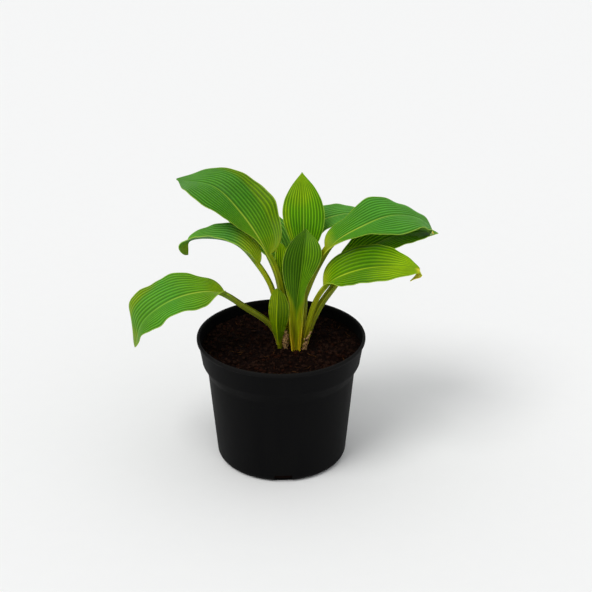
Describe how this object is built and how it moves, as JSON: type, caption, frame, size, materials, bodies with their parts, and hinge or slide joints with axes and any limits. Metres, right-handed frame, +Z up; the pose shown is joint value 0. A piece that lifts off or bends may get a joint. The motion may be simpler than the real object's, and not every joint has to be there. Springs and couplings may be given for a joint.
{
  "type": "potted hosta plant",
  "caption": "Young hosta with broad ribbed green leaves on channelled stalks, rooted in the soil of a round dark plastic nursery pot with a stepped band, a lip and drain notches.",
  "frame": {"origin": "middle of the pot's flat underside, on the surface it stands on", "axes": "+Z up, +X to the right and +Y away as the picture shows the plant"},
  "size_m": [0.3128, 0.1797, 0.2871],
  "materials": {
    "pot_plastic": "near-black moulded polypropylene with a soft sheen",
    "potting_soil": "dark crumbly peat and bark compost, fully matt",
    "crown_bark": "rough brown crown tissue",
    "leaf_green": "waxy mid-green blade, yellow-green stalk",
    "dry_scale": "dry papery brown sheath"
  },
  "bodies": {
    "root": {"pot": "pot_plastic", "soil": "potting_soil", "crown": "crown_bark", "leaf_upper_left": "leaf_green", "leaf_middle_left": "leaf_green", "leaf_lower_left": "leaf_green", "leaf_centre_back": "leaf_green", "leaf_centre_front": "leaf_green", "leaf_upper_right": "leaf_green", "leaf_under_right": "leaf_green", "leaf_lower_right": "leaf_green", "leaf_small_front": "leaf_green", "leaf_small_centre": "leaf_green", "leaf_back_right": "leaf_green", "leaf_back_left": "leaf_green", "dry_scale_left": "dry_scale", "dry_scale_right": "dry_scale"}
  },
  "joints": []
}
